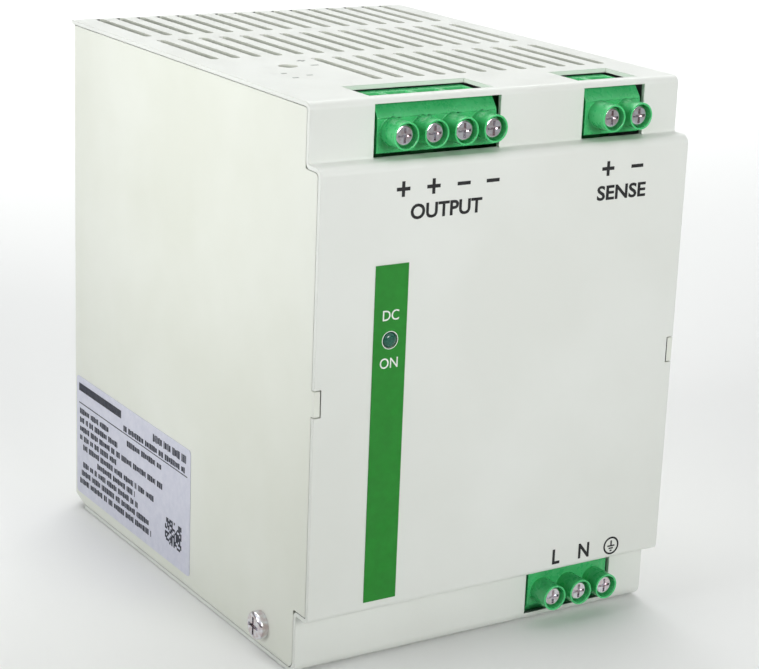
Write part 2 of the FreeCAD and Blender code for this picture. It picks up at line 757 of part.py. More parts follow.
def make_transformer(face, low):
    """Core with three legs, bobbin and winding, above a given height. Returns the height of its top."""
    depth = front_bay * 0.857
    high = low + 34
    core_y = (front_column, front_column + depth)
    core_x = (face + 8, face + 22)
    leg = depth * 0.153
    middle = front_column + depth / 2
    window = depth / 2 - 2 * leg
    core = box(core_x, core_y, (low, high))
    spaces = [box((0, case_width), (core_y[0] + leg, middle - leg), (low + leg, high - leg)),
              box((0, case_width), (middle + leg, core_y[1] - leg), (low + leg, high - leg))]
    keep("transformer_core", core.cut(spaces))

    clear = 0.2
    tube_wall = 1.2
    flange = 1.4
    tube_x = (core_x[0] - clear - tube_wall, core_x[1] + clear + tube_wall)
    tube_y = (middle - leg - clear - tube_wall, middle + leg + clear + tube_wall)
    reel = box(tube_x, tube_y, (low + leg + clear, high - leg - clear))
    flanges = [box((face, core_x[1] + 6), (core_y[0] + leg + clear, core_y[1] - leg - clear), (z, z + flange))
               for z in (low + leg + clear, high - leg - clear - flange)]
    hole = box(core_x, (middle - leg - clear, middle + leg + clear), (low, high))
    keep("transformer_bobbin", reel.fuse(flanges).cut(hole).removeSplitter())

    thickness = window * 0.6
    corners = [(tube_x[0] - thickness, tube_y[0] - thickness), (tube_x[1] + thickness, tube_y[0] - thickness),
               (tube_x[1] + thickness, tube_y[1] + thickness), (tube_x[0] - thickness, tube_y[1] + thickness)]
    end_room = leg + clear + flange + 0.1
    winding = prism("z", corners, low + end_room, high - end_room, radius=3)
    keep("transformer_winding", winding.cut(box(tube_x, tube_y, (low, high))))
    return high


def make_output_choke(face, low):
    """Ring choke of the output, above the transformer."""
    wire = 1.2
    outer = front_bay * 0.25
    choke = dict(middle_y=front_column + front_bay * 0.333, middle_z=low + outer + wire, outer=outer,
                 inner=outer * 0.524, height=11, x_low=face + wire)
    keep("output_choke_core", ring_core(**choke))
    keep("output_choke_winding", *ring_winding(**choke, wire=wire, arcs=[(0, 330)], step=30))


def make_rear_parts(face):
    """Bulk capacitors, heat sink with its transistors and rectifier, and output capacitors, upwards."""
    bulk_radius = rear_bay * 0.253
    bulk_zs = [board_edge_margin + 1.5 + bulk_radius * (1 + 2.16 * k) for k in (0, 1)]
    keep("bulk_capacitors", *[can(bulk_radius, 40, (face, rear_column + bulk_radius, z)) for z in bulk_zs])

    bridge_thickness = 4.4
    sink_z = bulk_zs[1] + bulk_radius + bridge_thickness + 2.1
    sink_y = (rear_column, rear_column + rear_bay * 0.648)
    plate = box((face, face + 56), sink_y, (sink_z, sink_z + 3))
    fins = [box((face + 28 + 5.5 * k, face + 29.6 + 5.5 * k), sink_y, (sink_z + 2, sink_z + 20))
            for k in range(6)]
    device_width = rear_bay * 0.194
    device_ys = [sink_y[0] + device_width * (0.573 + 1.094 * k) for k in range(3)]
    screw_x = face + 17
    tapped = [rod(1.5, (screw_x, y, sink_z - 1), (screw_x, y, sink_z + 9)) for y in device_ys]
    keep("heat_sink", plate.fuse(fins).removeSplitter().cut(tapped))
    pads, devices, screws = [], [], []
    pad_top = sink_z + 3.3
    half = device_width / 2
    for y in device_ys:
        hole = rod(1.7, (screw_x, y, sink_z), (screw_x, y, pad_top + 8))
        pad = box((face + 4, face + 21), (y - half - 0.2, y + half + 0.2), (sink_z + 3, pad_top))
        pads.append(pad.cut(hole))
        tab = box((face + 5, face + 20), (y - half, y + half), (pad_top, pad_top + 1.3))
        body = box((face + 5, face + 13.5), (y - half, y + half), (pad_top, pad_top + 4.5))
        legs = [box((face, face + 5.5), (y + k - 0.4, y + k + 0.4), (pad_top + 2, pad_top + 2.6))
                for k in (-half * 0.53, 0, half * 0.53)]
        devices.append(tab.fuse([body] + legs).removeSplitter().cut(hole))
        screws.append(stand(pan_screw(1.45, 3.3 + 1.0, 2.7, 1.8), (screw_x, y, pad_top + 1.3), (0, 0, 1)))
    keep("thermal_pads", *pads)
    keep("power_transistors", *devices)
    keep("transistor_screws", *screws)

    bridge_y = (sink_y[0] + 3, sink_y[1] - 3)
    bridge = box((face + 5, face + 25), bridge_y, (sink_z - bridge_thickness, sink_z))
    pitch = (bridge_y[1] - bridge_y[0]) / 4
    leg_ys = [bridge_y[0] + pitch * (k + 0.5) for k in range(4)]
    bridge_legs = [box((face, face + 5.5), (y - 0.6, y + 0.6), (sink_z - 2.6, sink_z - 1.8)) for y in leg_ys]
    keep("bridge_rectifier", bridge.fuse(bridge_legs).removeSplitter())

    spacing = rear_bay * 0.284
    small_radius = spacing * 0.446
    keep("output_capacitors", *[can(small_radius, 25, (face, rear_column + spacing * (k + 0.5), sink_z + 29))
                                for k in range(3)])


def make_control_parts():
    """Small board under the top with the voltage trimmer, whose rotor faces the hole in the cover."""
    underside = case_height - control_board_drop
    face = board_face()
    keep("control_board", box((face, face + control_board_width),
                              (trimmer_y - control_board_length / 2, trimmer_y + control_board_length / 2),
                              (underside, underside + board_thickness)))
    low = underside + board_thickness
    half = trimmer_side / 2
    body = box((trimmer_x - half, trimmer_x + half), (trimmer_y - half, trimmer_y + half),
               (low, low + trimmer_height))
    body = body.makeFillet(0.6, [edge for edge in body.Edges if abs(edge.Length - trimmer_height) < 1e-6])
    seat = low + trimmer_height - (rotor_height - rotor_stand)
    keep("trimmer_body", body.cut(rod(rotor_radius + shank_fit, (trimmer_x, trimmer_y, seat),
                                      (trimmer_x, trimmer_y, low + trimmer_height + 1))))
    rotor = lathe([(0, 0), (rotor_radius, 0), (rotor_radius, rotor_height - 0.05), (0, rotor_height - 0.05)],
                  [0, 0, 0.3, 0])
    recess = cross_recess(rotor_radius * 0.75, 0.9, 0.6)
    recess.translate(Vector(0, 0, rotor_height - 0.05))
    arrow = box((rotor_radius * 0.6, rotor_radius + 1), (-0.35, 0.35), (rotor_height - 0.6, rotor_height))
    keep("trimmer_rotor", stand(rotor.cut([recess, arrow]), (trimmer_x, trimmer_y, seat + 0.05), (0, 0, 1)))


pin_places = []
keep("chassis", make_chassis())
keep("front_cover", make_cover())
keep("case_screws", *make_case_screws())
keep("green_strip", make_strip())
keep("light_guide", make_light_guide())
keep("status_lamp", make_lamp())
keep("rating_label", make_label())
for block in block_places():
    make_block(*block)
keep("rail_bracket", make_bracket())
keep("bracket_screws", *make_bracket_screws())
keep("rail_latch", make_latch())
keep("latch_spring", make_spring())
keep("terminal_board", make_terminal_board())
keep("main_board", make_main_board())
keep("board_standoffs", *make_standoffs())
keep("board_screws", *make_board_screws())
mains_top = make_mains_parts(board_face())
transformer_top = make_transformer(board_face(), mains_top + 1.4)
make_output_choke(board_face(), transformer_top + 1.0)
make_rear_parts(board_face())
make_control_parts()

os.makedirs("parts", exist_ok=True)
for name, shape in nodes.items():
    shape.translate(offset)
    shape.exportStep(os.path.join("parts", name + ".step"))
    print(f"{name}: {len(shape.Solids)} solid(s), valid {shape.isValid()}, {shape.Volume:.0f} mm3")
print(len(nodes), "nodes")
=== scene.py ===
# %% [markdown]
# # A power supply for a DIN rail
#
# The object is a sheet-steel box that clips on a rail in a control cabinet. It has green screw terminals
# at the top and the foot of a stepped front, rows of vent slots, a green strip with a status lamp, and
# circuit boards inside. The shapes come from the imported model; this lesson gives each piece its finish,
# softens its edges and adds what a maker prints on it.

# %% Load the model
import json
import math
import random

import bmesh
import bpy
from mathutils import Matrix, Vector
from mathutils.bvhtree import BVHTree

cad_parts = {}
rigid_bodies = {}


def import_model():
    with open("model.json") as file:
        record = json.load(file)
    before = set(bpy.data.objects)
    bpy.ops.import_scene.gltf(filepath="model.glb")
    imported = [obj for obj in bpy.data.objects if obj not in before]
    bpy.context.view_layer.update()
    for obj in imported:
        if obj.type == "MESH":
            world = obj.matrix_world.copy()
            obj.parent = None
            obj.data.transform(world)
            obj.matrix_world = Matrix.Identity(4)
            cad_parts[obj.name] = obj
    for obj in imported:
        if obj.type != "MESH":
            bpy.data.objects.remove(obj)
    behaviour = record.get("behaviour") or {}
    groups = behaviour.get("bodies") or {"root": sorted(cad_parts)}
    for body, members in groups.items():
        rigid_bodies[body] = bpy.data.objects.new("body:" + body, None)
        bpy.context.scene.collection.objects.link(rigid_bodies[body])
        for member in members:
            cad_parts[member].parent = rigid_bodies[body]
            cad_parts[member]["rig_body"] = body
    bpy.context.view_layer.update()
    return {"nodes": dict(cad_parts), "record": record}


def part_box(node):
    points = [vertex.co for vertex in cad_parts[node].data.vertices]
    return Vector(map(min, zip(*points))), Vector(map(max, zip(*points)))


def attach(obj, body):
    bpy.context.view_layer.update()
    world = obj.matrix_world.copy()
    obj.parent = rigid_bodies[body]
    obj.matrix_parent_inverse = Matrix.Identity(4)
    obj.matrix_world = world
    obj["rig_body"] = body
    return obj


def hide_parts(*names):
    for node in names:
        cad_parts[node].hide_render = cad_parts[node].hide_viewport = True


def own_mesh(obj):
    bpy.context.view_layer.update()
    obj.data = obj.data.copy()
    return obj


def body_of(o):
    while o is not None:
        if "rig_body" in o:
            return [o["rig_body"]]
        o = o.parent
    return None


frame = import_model()
nodes = frame["nodes"]
MM = 0.001

# %% [markdown]
# ## Measures
#
# Every size is a real one, in millimetres, and is turned into metres where it is used. The places come
# from the model's own boxes, so a piece stays where it belongs when the model changes. The front is
# stepped: a plate stands proud in the middle, and the bands above and below it are set back.

# %% Measures
RECESS_DEPTH = 5.2 * MM                    # how far a band of the front is set back

case_low, case_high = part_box("front_cover")
plate_y = case_low.y                       # front of the plate that stands proud
top_z, floor_z = case_high.z, case_low.z
left_x = case_low.x
recess_y = plate_y + RECESS_DEPTH


def at_front(from_left, height):
    """Point on the front plate, from millimetres right of the left wall and above the underside."""
    return Vector((left_x + from_left * MM, plate_y, floor_z + height * MM))


print("case", [round(side / MM, 1) for side in case_high - case_low], "mm")

# %% [markdown]
# ## Camera
#
# A long lens from above and to the left keeps the box's upright edges nearly parallel. The camera is
# aimed by three angles: it looks to the right of straight ahead by its yaw, down by its pitch, and is
# rolled a little about its own line of sight. Those axes are the columns of its rotation.

# %% Camera
CAMERA_PLACE = Vector((-0.2661, -0.4962, 0.1438))
YAW, PITCH, ROLL = math.radians(32.338), math.radians(16.664), math.radians(2.243)
FOCAL_LENGTH_MM, FILM_WIDTH_MM, NEAREST = 100.07, 36.0, 10 * MM

sight = Vector((math.sin(YAW) * math.cos(PITCH), math.cos(YAW) * math.cos(PITCH), -math.sin(PITCH)))
right = sight.cross(Vector((0, 0, 1))).normalized()
up = right.cross(sight)
rolled_right = math.cos(ROLL) * right + math.sin(ROLL) * up
rolled_up = math.cos(ROLL) * up - math.sin(ROLL) * right

lens = bpy.data.cameras.new("view")
lens.lens = FOCAL_LENGTH_MM
lens.sensor_width = FILM_WIDTH_MM
lens.clip_start = NEAREST
camera = bpy.data.objects.new("view", lens)
camera.matrix_world = Matrix((rolled_right, rolled_up, -sight)).transposed().to_4x4()
camera.location = CAMERA_PLACE
bpy.context.scene.collection.objects.link(camera)
bpy.context.scene.camera = camera
print("camera is", round((camera.location - (case_low + case_high) / 2).length, 3), "m from the case")

# %% [markdown]
# ## Studio
#
# The box stands on a plain pale sheet that curves up behind it, as a photographer's paper roll does, so
# that no line shows between floor and wall. The roll is drawn as one edge that is pulled back along the
# floor, spun up through a quarter turn and then raised.

# %% Paper roll
ROLL_WIDTH, ROLL_FRONT, ROLL_RUN, ROLL_RISE, ROLL_RADIUS = 5.0, 2.5, 2.2, 2.0, 0.8
ROLL_STEPS = 24
PAPER_GAP = 0.2 * MM                        # a hair below the box, so that they don't share a plane
PAPER_ROUGHNESS = 0.9


def tint(red, green, blue, alpha=1.0):
    """Linear colour from a colour as it is seen on a screen, 0 to 255."""
    def linear(value):
        value /= 255
        return value / 12.92 if value <= 0.04045 else ((value + 0.055) / 1.055) ** 2.4
    return (linear(red), linear(green), linear(blue), alpha)


def finished_object(name, shape):
    """Object at the origin from a bmesh, linked to the scene."""
    mesh = bpy.data.meshes.new(name)
    shape.to_mesh(mesh)
    shape.free()
    made = bpy.data.objects.new(name, mesh)
    bpy.context.scene.collection.objects.link(made)
    return made


shape = bmesh.new()
paper_z = floor_z - PAPER_GAP
start = shape.verts.new((-ROLL_WIDTH / 2, -ROLL_FRONT, paper_z))
end = shape.verts.new((ROLL_WIDTH / 2, -ROLL_FRONT, paper_z))
edge = shape.edges.new((start, end))
run = bmesh.ops.extrude_edge_only(shape, edges=[edge])["geom"]
run_ends = [v for v in run if isinstance(v, bmesh.types.BMVert)]
bmesh.ops.translate(shape, verts=run_ends, vec=(0, ROLL_FRONT + ROLL_RUN, 0))
back_edge = [e for e in run if isinstance(e, bmesh.types.BMEdge)]
back_edge = [e for e in back_edge if all(abs(v.co.y - ROLL_RUN) < 1e-6 for v in e.verts)]
bend = bmesh.ops.spin(shape, geom=back_edge, cent=(0, ROLL_RUN, paper_z + ROLL_RADIUS), axis=(1, 0, 0),
                      angle=math.radians(90), steps=ROLL_STEPS)["geom_last"]
wall_edge = [e for e in bend if isinstance(e, bmesh.types.BMEdge)]
rise = bmesh.ops.extrude_edge_only(shape, edges=wall_edge)["geom"]
rise_ends = [v for v in rise if isinstance(v, bmesh.types.BMVert)]
bmesh.ops.translate(shape, verts=rise_ends, vec=(0, 0, ROLL_RISE))
bmesh.ops.recalc_face_normals(shape, faces=shape.faces)
for face in shape.faces:
    face.smooth = True
paper_roll = finished_object("paper_roll", shape)
paper = bpy.data.materials.new("paper")
paper.use_nodes = True
paper_shader = paper.node_tree.nodes["Principled BSDF"]
paper_shader.inputs["Base Color"].default_value = tint(238, 239, 238)
paper_shader.inputs["Roughness"].default_value = PAPER_ROUGHNESS
paper_roll.data.materials.append(paper)
print("paper roll has", len(paper_roll.data.polygons), "faces")

# %% [markdown]
# Four soft lamps light the box. One on the left and one in front stand near it, and their light is kept
# in narrow beams so that little of it reaches the floor: the left wall becomes the brightest side and
# fades towards its foot. A broad lamp above fills the top, and one over the paper lights the background.

# %% Lamps
def soft_lamp(name, place, aim, size, watts, spread_degrees=180, colour=(1, 1, 1)):
    """Soft box that faces a point; a small spread keeps its light off the floor."""
    light = bpy.data.lights.new(name, "AREA")
    light.shape = "RECTANGLE"
    light.size, light.size_y = size
    light.energy = watts
    light.color = colour
    light.spread = math.radians(spread_degrees)
    lamp = bpy.data.objects.new(name, light)
    lamp.rotation_euler = (Vector(aim) - Vector(place)).to_track_quat("-Z", "Y").to_euler()
    lamp.location = place
    bpy.context.scene.collection.objects.link(lamp)
    return lamp


soft_lamp("left_lamp", place=(-0.42, -0.07, 0.18), aim=(-0.05, -0.07, 0.095), size=(0.2, 0.2),
          watts=0.165, spread_degrees=54, colour=(1.0, 1.0, 0.995))
soft_lamp("front_lamp", place=(0.03, -0.60, 0.18), aim=(-0.01, -0.13, 0.06), size=(0.24, 0.2),
          watts=0.22, spread_degrees=62, colour=(1.0, 0.995, 0.99))
soft_lamp("top_lamp", place=(0.1, 0.1, 1.0), aim=(0, -0.06, 0), size=(0.8, 0.8), watts=2.6)
soft_lamp("paper_lamp", place=(0.75, 1.1, 1.0), aim=(0.75, 1.3, 0), size=(2.4, 1.0), watts=32)

# %% [markdown]
# Bright metal looks like metal because it mirrors both light and dark. A studio that is white all round
# turns a screw into a white disc, so the room has one brightness for surfaces that scatter light and a
# darker, graded one for those that mirror it: dim at eye level, warm underfoot, bright overhead. What
# is seen past the paper's edge is a third, even tone. The picture is shown without a film-like curve,
# so a painted colour comes out as it was mixed.

# %% Room
SCATTERED_COLOUR, SCATTERED_STRENGTH = (0.97, 0.99, 1.0, 1), 0.24
BEYOND_COLOUR = (0.94, 0.95, 0.95, 1)
MIRRORED_STOPS = ((0.0, (0.16, 0.11, 0.10, 1)), (0.12, (0.05, 0.05, 0.06, 1)), (0.45, (0.8, 0.82, 0.85, 1)))

room = bpy.data.worlds.new("room")
room.use_nodes = True
bpy.context.scene.world = room
air = room.node_tree
scattered = air.nodes["Background"]
scattered.inputs["Color"].default_value = SCATTERED_COLOUR
scattered.inputs["Strength"].default_value = SCATTERED_STRENGTH
mirrored = air.nodes.new("ShaderNodeBackground")
height = air.nodes.new("ShaderNodeSeparateXYZ")
grade = air.nodes.new("ShaderNodeValToRGB")
which = air.nodes.new("ShaderNodeMixShader")
air.links.new(air.nodes.new("ShaderNodeTexCoord").outputs["Generated"], height.inputs["Vector"])
air.links.new(height.outputs["Z"], grade.inputs["Fac"])
for place, colour in MIRRORED_STOPS:
    stop = grade.color_ramp.elements.new(place) if place else grade.color_ramp.elements[0]
    stop.position, stop.color = place, colour
air.links.new(grade.outputs["Color"], mirrored.inputs["Color"])
rays = air.nodes.new("ShaderNodeLightPath")
air.links.new(rays.outputs["Is Glossy Ray"], which.inputs["Fac"])
air.links.new(scattered.outputs["Background"], which.inputs[1])
air.links.new(mirrored.outputs["Background"], which.inputs[2])
beyond = air.nodes.new("ShaderNodeBackground")           # what shows past the paper's edge
beyond.inputs["Color"].default_value = BEYOND_COLOUR
seen = air.nodes.new("ShaderNodeMixShader")
air.links.new(rays.outputs["Is Camera Ray"], seen.inputs["Fac"])
air.links.new(which.outputs["Shader"], seen.inputs[1])
air.links.new(beyond.outputs["Background"], seen.inputs[2])
air.links.new(seen.outputs["Shader"], air.nodes["World Output"].inputs["Surface"])
bpy.context.scene.view_settings.view_transform = "Standard"
print("room graded")

# %% [markdown]
# ## A kit for finishes
#
# A finish is a shader with three things driven by noise: its colour drifts a little, its roughness
# drifts a little, and its surface is not quite flat. All patterns read the object's own coordinates, in
# metres, so a pattern's scale is one over its size. The helpers below add one node each and name it for
# what it does, which keeps the recipes further down short.

# %% Kit
def new_finish(name):
    """Material, its node tree, its shader and its object coordinates."""
    made = bpy.data.materials.new(name)
    made.use_nodes = True
    tree = made.node_tree
    shader = tree.nodes["Principled BSDF"]
    place = tree.nodes.new("ShaderNodeTexCoord").outputs["Object"]
    return made, tree, shader, place


def stretched(tree, place, factors, turn=(0, 0, 0)):
    """Coordinates stretched or turned, for grain that runs one way."""
    mapping = tree.nodes.new("ShaderNodeMapping")
    mapping.inputs["Scale"].default_value = factors
    mapping.inputs["Rotation"].default_value = turn
    tree.links.new(place, mapping.inputs["Vector"])
    return mapping.outputs["Vector"]


def cloud(tree, place, size_mm, detail=2.0, rough=0.5):
    """Noise whose blots are about this size."""
    node = tree.nodes.new("ShaderNodeTexNoise")
    node.inputs["Scale"].default_value = 1000.0 / size_mm
    node.inputs["Detail"].default_value = detail
    node.inputs["Roughness"].default_value = rough
    tree.links.new(place, node.inputs["Vector"])
    return node.outputs["Fac"]


def cells(tree, place, size_mm, feature="F1", output="Distance"):
    """Voronoi cells of about this size."""
    node = tree.nodes.new("ShaderNodeTexVoronoi")
    node.feature = feature
    node.inputs["Scale"].default_value = 1000.0 / size_mm
    tree.links.new(place, node.inputs["Vector"])
    return node.outputs[output]


def spread(tree, value, low, high, from_low=0.0, from_high=1.0):
    """A value moved from one range into another."""
    node = tree.nodes.new("ShaderNodeMapRange")
    node.inputs["From Min"].default_value = from_low
    node.inputs["From Max"].default_value = from_high
    node.inputs["To Min"].default_value = low
    node.inputs["To Max"].default_value = high
    tree.links.new(value, node.inputs["Value"])
    return node.outputs["Result"]


def blend_colours(tree, share, first, second):
    """Colour between two, each a fixed colour or another node's output."""
    node = tree.nodes.new("ShaderNodeMix")
    node.data_type = "RGBA"
    if isinstance(share, float):
        node.inputs["Factor"].default_value = share
    else:
        tree.links.new(share, node.inputs["Factor"])
    for socket, colour in (("A", first), ("B", second)):
        target = next(s for s in node.inputs if s.name == socket and s.type == "RGBA")
        if isinstance(colour, bpy.types.NodeSocket):
            tree.links.new(colour, target)
        else:
            target.default_value = colour
    return next(s for s in node.outputs if s.type == "RGBA")


def sum_of(tree, first, second, operation="ADD"):
    """Two values added, multiplied or compared."""
    node = tree.nodes.new("ShaderNodeMath")
    node.operation = operation
    for socket, value in zip(node.inputs, (first, second)):
        if isinstance(value, (int, float)):
            socket.default_value = value
        else:
            tree.links.new(value, socket)
    return node.outputs[0]


def relief(tree, shader, heights):
    """Bumps laid over each other, each a (height, depth in mm) pair, and sent to the shader."""
    normal = None
    for height, depth_mm in heights:
        node = tree.nodes.new("ShaderNodeBump")
        node.inputs["Distance"].default_value = depth_mm * MM
        tree.links.new(height, node.inputs["Height"])
        if normal:
            tree.links.new(normal, node.inputs["Normal"])
        normal = node.outputs["Normal"]
    tree.links.new(normal, shader.inputs["Normal"])


TURNED, FLAT_ENOUGH = 0.80, 0.995           # likeness of the two normals at an edge and on a flat


def edge_share(tree, reach_mm):
    """One where the surface turns within this reach, none on the flats."""
    rounded = tree.nodes.new("ShaderNodeBevel")
    rounded.inputs["Radius"].default_value = reach_mm * MM
    plain = tree.nodes.new("ShaderNodeNewGeometry")
    likeness = tree.nodes.new("ShaderNodeVectorMath")
    likeness.operation = "DOT_PRODUCT"
    tree.links.new(rounded.outputs["Normal"], likeness.inputs[0])
    tree.links.new(plain.outputs["Normal"], likeness.inputs[1])
    return spread(tree, likeness.outputs["Value"], 1.0, 0.0, TURNED, FLAT_ENOUGH)


def darker(colour, share):
    """The same colour at a share of its strength, still opaque."""
    return tuple(part * share for part in colour[:3]) + (1,)


finishes = {}
print("kit ready")

# %% [markdown]
# ### Powder coat
#
# The case is sprayed with powder and baked. The film flows a little before it sets, which leaves the
# shallow dimples called orange peel, about a millimetre across, with a finer tooth on top. A painter
# would reach for an image here, but two noises as bumps stay sharp at any distance. The colour is a
# warm off-white that drifts very slightly, and it goes a little greyer in patches along the edges, where
# a coat is thinnest and gets handled.

# %% Powder coat
def powder_coat(name, colour, deeper):
    made, tree, shader, place = new_finish(name)
    drift = spread(tree, cloud(tree, place, 38.0, 3.0), 0.0, 1.0, 0.35, 0.65)
    speck = spread(tree, cloud(tree, place, 0.35, 1.0), 0.0, 0.25, 0.62, 0.80)
    base = blend_colours(tree, drift, colour, deeper)
    speckled = blend_colours(tree, speck, base, deeper)
    patchy_edge = sum_of(tree, edge_share(tree, 0.5), cloud(tree, place, 1.6, 4.0), "MULTIPLY")
    worn = spread(tree, patchy_edge, 0, 0.55, 0.12, 0.4)
    tree.links.new(blend_colours(tree, worn, speckled, tint(205, 206, 200)), shader.inputs["Base Color"])
    tree.links.new(spread(tree, cloud(tree, place, 6.0, 4.0), 0.36, 0.50, 0.3, 0.7),
                   shader.inputs["Roughness"])
    shader.inputs["Specular IOR Level"].default_value = 0.5
    relief(tree, shader, [(cloud(tree, place, 1.1, 1.0), 0.012), (cloud(tree, place, 0.28, 2.0), 0.006)])
    return made


finishes["cover_paint"] = powder_coat("cover_paint", tint(227, 230, 225), tint(222, 225, 219))
finishes["chassis_paint"] = powder_coat("chassis_paint", tint(227, 230, 221), tint(221, 224, 213))

# %% [markdown]
# ### Bright plating
#
# Nickel on the screws and zinc on the bracket are metals with a thin bright skin. Zinc is bluer and shows
# faint blotches from the passivating bath; both have fine marks from forming, drawn out along one way.

# %% Bright plating
def plating(name, colour, other, rough, grain=(1, 1, 1), mark_mm=0.25, blotch_and_reflection_mm=5.0, depth_mm=0.003):
    made, tree, shader, place = new_finish(name)
    shader.inputs["Metallic"].default_value = 1.0
    blotch_and_reflection = spread(tree, cloud(tree, place, blotch_and_reflection_mm, 4.0), 0.0, 1.0, 0.35, 0.65)
    tree.links.new(blend_colours(tree, blotch_and_reflection, colour, other), shader.inputs["Base Color"])
    marks = cloud(tree, stretched(tree, place, grain), mark_mm, 3.0)
    tree.links.new(spread(tree, marks, rough * 0.7, rough * 1.35, 0.3, 0.7), shader.inputs["Roughness"])
    relief(tree, shader, [(marks, depth_mm)])
    return made


# Painted reflection: the nickel's small pinkish blotches stand in for the coloured reflections on the screw
# heads.
finishes["nickel"] = plating("nickel", tint(232, 234, 240), tint(206, 190, 192), 0.12,
                             mark_mm=0.9, blotch_and_reflection_mm=1.2, depth_mm=0.03)
finishes["clamp_steel"] = plating("clamp_steel", tint(206, 208, 212), tint(186, 189, 196), 0.30, (1, 8, 1))
finishes["zinc_plate"] = plating("zinc_plate", tint(206, 209, 213), tint(188, 194, 203), 0.30,
                                 (0.15, 1, 1), mark_mm=0.35, blotch_and_reflection_mm=7.0)
finishes["tinned_copper"] = plating("tinned_copper", tint(214, 212, 206), tint(196, 192, 184), 0.28)
finishes["spring_wire"] = plating("spring_wire", tint(150, 150, 152), tint(128, 128, 132), 0.26,
                                  (1, 1, 0.2), mark_mm=0.15)
finishes["sink_aluminium"] = plating("sink_aluminium", tint(205, 207, 210), tint(194, 196, 200), 0.34,
                                     (1, 0.04, 1), mark_mm=0.30, blotch_and_reflection_mm=9.0, depth_mm=0.004)

# %% [markdown]
# ### Moulded plastics
#
# The terminal housings are glass-filled nylon in a clear green. Light goes a little way in, which a low
# subsurface share gives, and every edge is painted paler than the body: a painted highlight on the rims.
# The latch, the bobbin and the chip packages are duller and nearly black. Each has the fine matt
# texture of its mould.

# %% Moulded plastics
def moulding(name, colour, deeper, rough, tooth_mm=0.18, tooth_depth=0.006, inner=0.0, inner_mm=(1, 1, 1)):
    made, tree, shader, place = new_finish(name)
    flow = spread(tree, cloud(tree, stretched(tree, place, (1, 1, 0.4)), 4.0, 3.0), 0.0, 1.0, 0.3, 0.7)
    body = blend_colours(tree, flow, colour, deeper)
    # Painted highlight: every edge is painted paler than the body, as thin rims look when they catch light.
    painted_rim_highlight = spread(tree, edge_share(tree, 0.4), 0.0, 0.5)
    tree.links.new(blend_colours(tree, painted_rim_highlight, body, tuple(min(1.0, c * 1.7 + 0.03) for c in colour[:3]) + (1,)),
                   shader.inputs["Base Color"])
    tree.links.new(spread(tree, cloud(tree, place, 1.5, 3.0), rough * 0.85, rough * 1.2, 0.3, 0.7),
                   shader.inputs["Roughness"])
    shader.inputs["Subsurface Weight"].default_value = inner
    shader.inputs["Subsurface Radius"].default_value = inner_mm
    shader.inputs["Subsurface Scale"].default_value = MM
    relief(tree, shader, [(cloud(tree, place, tooth_mm, 1.0), tooth_depth)])
    return made


finishes["terminal_plastic"] = moulding("terminal_plastic", tint(74, 192, 118), tint(58, 176, 102), 0.28,
                                        tooth_mm=0.2, tooth_depth=0.004, inner=0.3, inner_mm=(0.6, 1.4, 0.8))
finishes["latch_plastic"] = moulding("latch_plastic", tint(42, 43, 45), tint(34, 35, 37), 0.55, 0.35, 0.02)
finishes["bobbin_plastic"] = moulding("bobbin_plastic", tint(38, 36, 35), tint(30, 29, 28), 0.45)
finishes["component_black"] = moulding("component_black", tint(40, 40, 42), tint(31, 31, 33), 0.52,
                                       tooth_mm=0.12, tooth_depth=0.008)
finishes["trimmer_plastic"] = moulding("trimmer_plastic", tint(38, 84, 168), tint(30, 70, 150), 0.32)
finishes["rotor_plastic"] = moulding("rotor_plastic", tint(232, 230, 218), tint(214, 211, 198), 0.4)
finishes["thermal_rubber"] = moulding("thermal_rubber", tint(140, 146, 152), tint(126, 131, 138), 0.75,
                                      tooth_mm=0.5, tooth_depth=0.01)
finishes["capacitor_box"] = moulding("capacitor_box", tint(222, 186, 52), tint(208, 172, 40), 0.3)
finishes["choke_coating"] = moulding("choke_coating", tint(216, 190, 64), tint(198, 172, 48), 0.38, 0.9, 0.03)

# %% [markdown]
# ### Films, foil, resin and glass
#
# The strip is a printed film, the label a satin foil, the lamp a clear resin and its window a tinted
# clear rod. The fuse is a glass tube. None of them is perfectly smooth: each has a faint unevenness that
# breaks up what it reflects.

# %% Films, foil, resin and glass
def printed_film(name, colour, deeper, rough, metal=0.0):
    made, tree, shader, place = new_finish(name)
    ink = spread(tree, cloud(tree, place, 2.2, 5.0, 0.65), 0.0, 1.0, 0.35, 0.65)
    tree.links.new(blend_colours(tree, ink, colour, deeper), shader.inputs["Base Color"])
    tree.links.new(spread(tree, cloud(tree, place, 9.0, 3.0), rough * 0.85, rough * 1.2, 0.3, 0.7),
                   shader.inputs["Roughness"])
    shader.inputs["Metallic"].default_value = metal
    relief(tree, shader, [(cloud(tree, place, 0.12, 1.0), 0.002), (cloud(tree, place, 7.0, 1.0), 0.02)])
    return made


def clear_resin(name, colour, rough, passing):
    made, tree, shader, place = new_finish(name)
    haze = spread(tree, cloud(tree, place, 1.2, 3.0), 0.0, 1.0, 0.3, 0.7)
    tree.links.new(blend_colours(tree, haze, colour, darker(colour, 0.85)), shader.inputs["Base Color"])
    tree.links.new(spread(tree, cloud(tree, place, 0.8, 2.0), rough * 0.7, rough * 1.4, 0.3, 0.7),
                   shader.inputs["Roughness"])
    shader.inputs["Transmission Weight"].default_value = passing
    shader.inputs["IOR"].default_value = 1.5
    relief(tree, shader, [(cloud(tree, place, 1.5, 1.0), 0.004)])
    return made


finishes["strip_film"] = printed_film("strip_film", tint(12, 132, 26), tint(8, 122, 20), 0.55)
finishes["label_foil"] = printed_film("label_foil", tint(212, 213, 226), tint(202, 204, 219), 0.36)
finishes["winding_tape"] = printed_film("winding_tape", tint(214, 178, 54), tint(196, 160, 40), 0.3)
finishes["lens"] = clear_resin("lens", tint(58, 140, 116), 0.08, 0.55)
finishes["lamp"] = clear_resin("lamp", tint(225, 232, 214), 0.15, 0.5)
finishes["fuse_glass"] = clear_resin("fuse_glass", tint(226, 234, 234), 0.04, 0.9)

